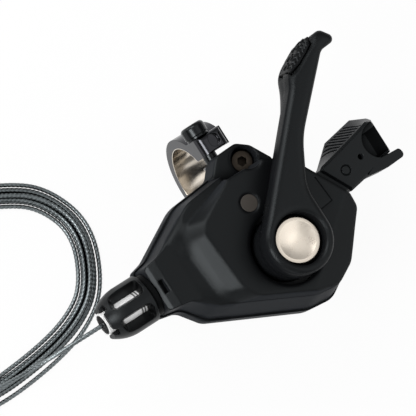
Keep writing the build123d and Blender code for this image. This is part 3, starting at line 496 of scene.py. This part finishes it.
# Tubes
def skin_tube(mesh, line, side, count, ring):
    """Closed tube along a line; ring(k, j) gives the radius and the angle of point j on ring k."""
    rings = []
    for k, point in enumerate(line):
        ahead = (line[min(k + 1, len(line) - 1)] - line[max(k - 1, 0)]).normalized()
        side = (side - ahead * side.dot(ahead)).normalized()
        other = ahead.cross(side)
        places = [ring(k, j) for j in range(count)]
        spots = [point + r * (math.cos(a) * side + math.sin(a) * other) for r, a in places]
        rings.append([mesh.verts.new(spot) for spot in spots])
    for low, high in zip(rings, rings[1:]):
        for j in range(count):
            i = (j + 1) % count
            mesh.faces.new((low[j], low[i], high[i], high[j]))
    mesh.faces.new(rings[0][::-1])
    mesh.faces.new(rings[-1])


def smooth_object(name, mesh, material):
    for face in mesh.faces:
        face.smooth = True
    data = bpy.data.meshes.new(name)
    mesh.to_mesh(data)
    mesh.free()
    data.materials.append(material)
    return add_object(name, data)


# Treads
def along_points(points, share):
    step = share * (len(points) - 1)
    k = min(int(step), len(points) - 2)
    return Vector(points[k]).lerp(Vector(points[k + 1]), step - k)


def tread_line(share):
    """Bent line across the sloping face of the pad, its knee towards the lever's tip."""
    line = []
    for k in range(TREAD_STEPS + 1):
        across = TREAD_MARGIN + TREAD_WIDTH * k / TREAD_STEPS
        at = share + TREAD_BEND * (1 - abs(2 * k / TREAD_STEPS - 1))
        x, y = along_points(PAD_TOP, at).lerp(along_points(PAD_SIDE, at), across)
        line.append(Vector((x, y, PAD_TOP_Z + (PAD_SIDE_Z - PAD_TOP_Z) * across)) * MM)
    return line


def tread_ring(k, j):
    end = k in (0, TREAD_STEPS)
    return TREAD_R * (TREAD_END if end else 1.0), FULL_TURN * j / TREAD_POINTS


def add_treads():
    material = moulded_plastic("tread_rubber", rough=0.36, shine=0.4, grain=900.0, strength=0.3)
    mesh = bmesh.new()
    for k in range(TREADS):
        share = TREAD_FIRST + (TREAD_LAST - TREAD_FIRST) * k / (TREADS - 1)
        skin_tube(mesh, tread_line(share), Vector((0, 0, 1)), TREAD_POINTS, tread_ring)
    treads = smooth_object("pad_treads", mesh, material)
    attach(treads, "pull")


# Wire
def moved_in(points, amount):
    """A closed outline, each point moved inwards."""
    inside = []
    for a, b, c in zip(points[-1:] + points, points, points[1:] + points[:1]):
        along = (Vector(c) - Vector(a)).normalized()
        inside.append((b[0] - along.y * amount, b[1] + along.x * amount))
    return inside


def coil_points():
    """Turn after turn, each in its own lane, changing lanes near its end."""
    count = len(COIL_OUTSIDE)
    points = []
    for turn, (lane, layer) in enumerate(LANES):
        next_lane, next_layer = LANES[min(turn + 1, len(LANES) - 1)]
        for step in range(count):
            share = step / count
            moved = max(0.0, share - LANE_CHANGE) / (1 - LANE_CHANGE)
            wander = sum(width * math.sin(shift * turn + FULL_TURN * waves * share)
                         for width, shift, waves in WANDERS)
            inset = lane + (next_lane - lane) * moved + wander
            x, y = moved_in(COIL_OUTSIDE, inset)[(COIL_START - step) % count]
            height = layer + (next_layer - layer) * moved
            points.append((x, y, LOWEST_LAYER_Z + LAYER_RISE * height))
    return points


def smooth_line(points):
    """Points in millimetres, joined by a smooth line."""
    curve = bpy.data.curves.new("wire_line", "CURVE")
    curve.dimensions = "3D"
    curve.resolution_u = CURVE_STEPS
    spline = curve.splines.new("NURBS")
    spline.points.add(len(points) - 1)
    for place, point in zip(spline.points, points):
        place.co = (*(Vector(point) * MM), 1)
    spline.order_u = CURVE_ORDER
    spline.use_endpoint_u = True
    carrier = add_object("wire_line", curve)
    mesh = bpy.data.meshes.new_from_object(carrier.evaluated_get(bpy.context.evaluated_depsgraph_get()))
    line = [v.co.copy() for v in mesh.vertices]
    bpy.data.objects.remove(carrier)
    bpy.data.meshes.remove(mesh)
    return line


def even_steps(line, step):
    points = [line[0]]
    left = step
    for a, b in zip(line, line[1:]):
        length = (b - a).length
        at = left
        while at <= length:
            points.append(a.lerp(b, at / length))
            at += step
        left = at - length
    return points


def strand_ring(k, j):
    a = FULL_TURN * j / RING_POINTS
    r = WIRE_D / 2 * (1 - STRAND_DEPTH * (0.5 - 0.5 * math.cos(STRANDS * a)))
    return r, a + FULL_TURN * k * RING_STEP / STRAND_LAY


def add_wire():
    material = metal("wire_zinc", rough=0.28)
    line = even_steps(smooth_line(FREE_ROUTE + coil_points()), RING_STEP)
    mesh = bmesh.new()
    skin_tube(mesh, line, Vector((0, 1, 0)), RING_POINTS, strand_ring)
    wire = smooth_object("gear_wire", mesh, material)
    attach(wire, "housing")
    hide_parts("cable_free", "cable_coil")


add_camera()
add_floor()
light_scene()
dress_all()
add_treads()
add_wire()
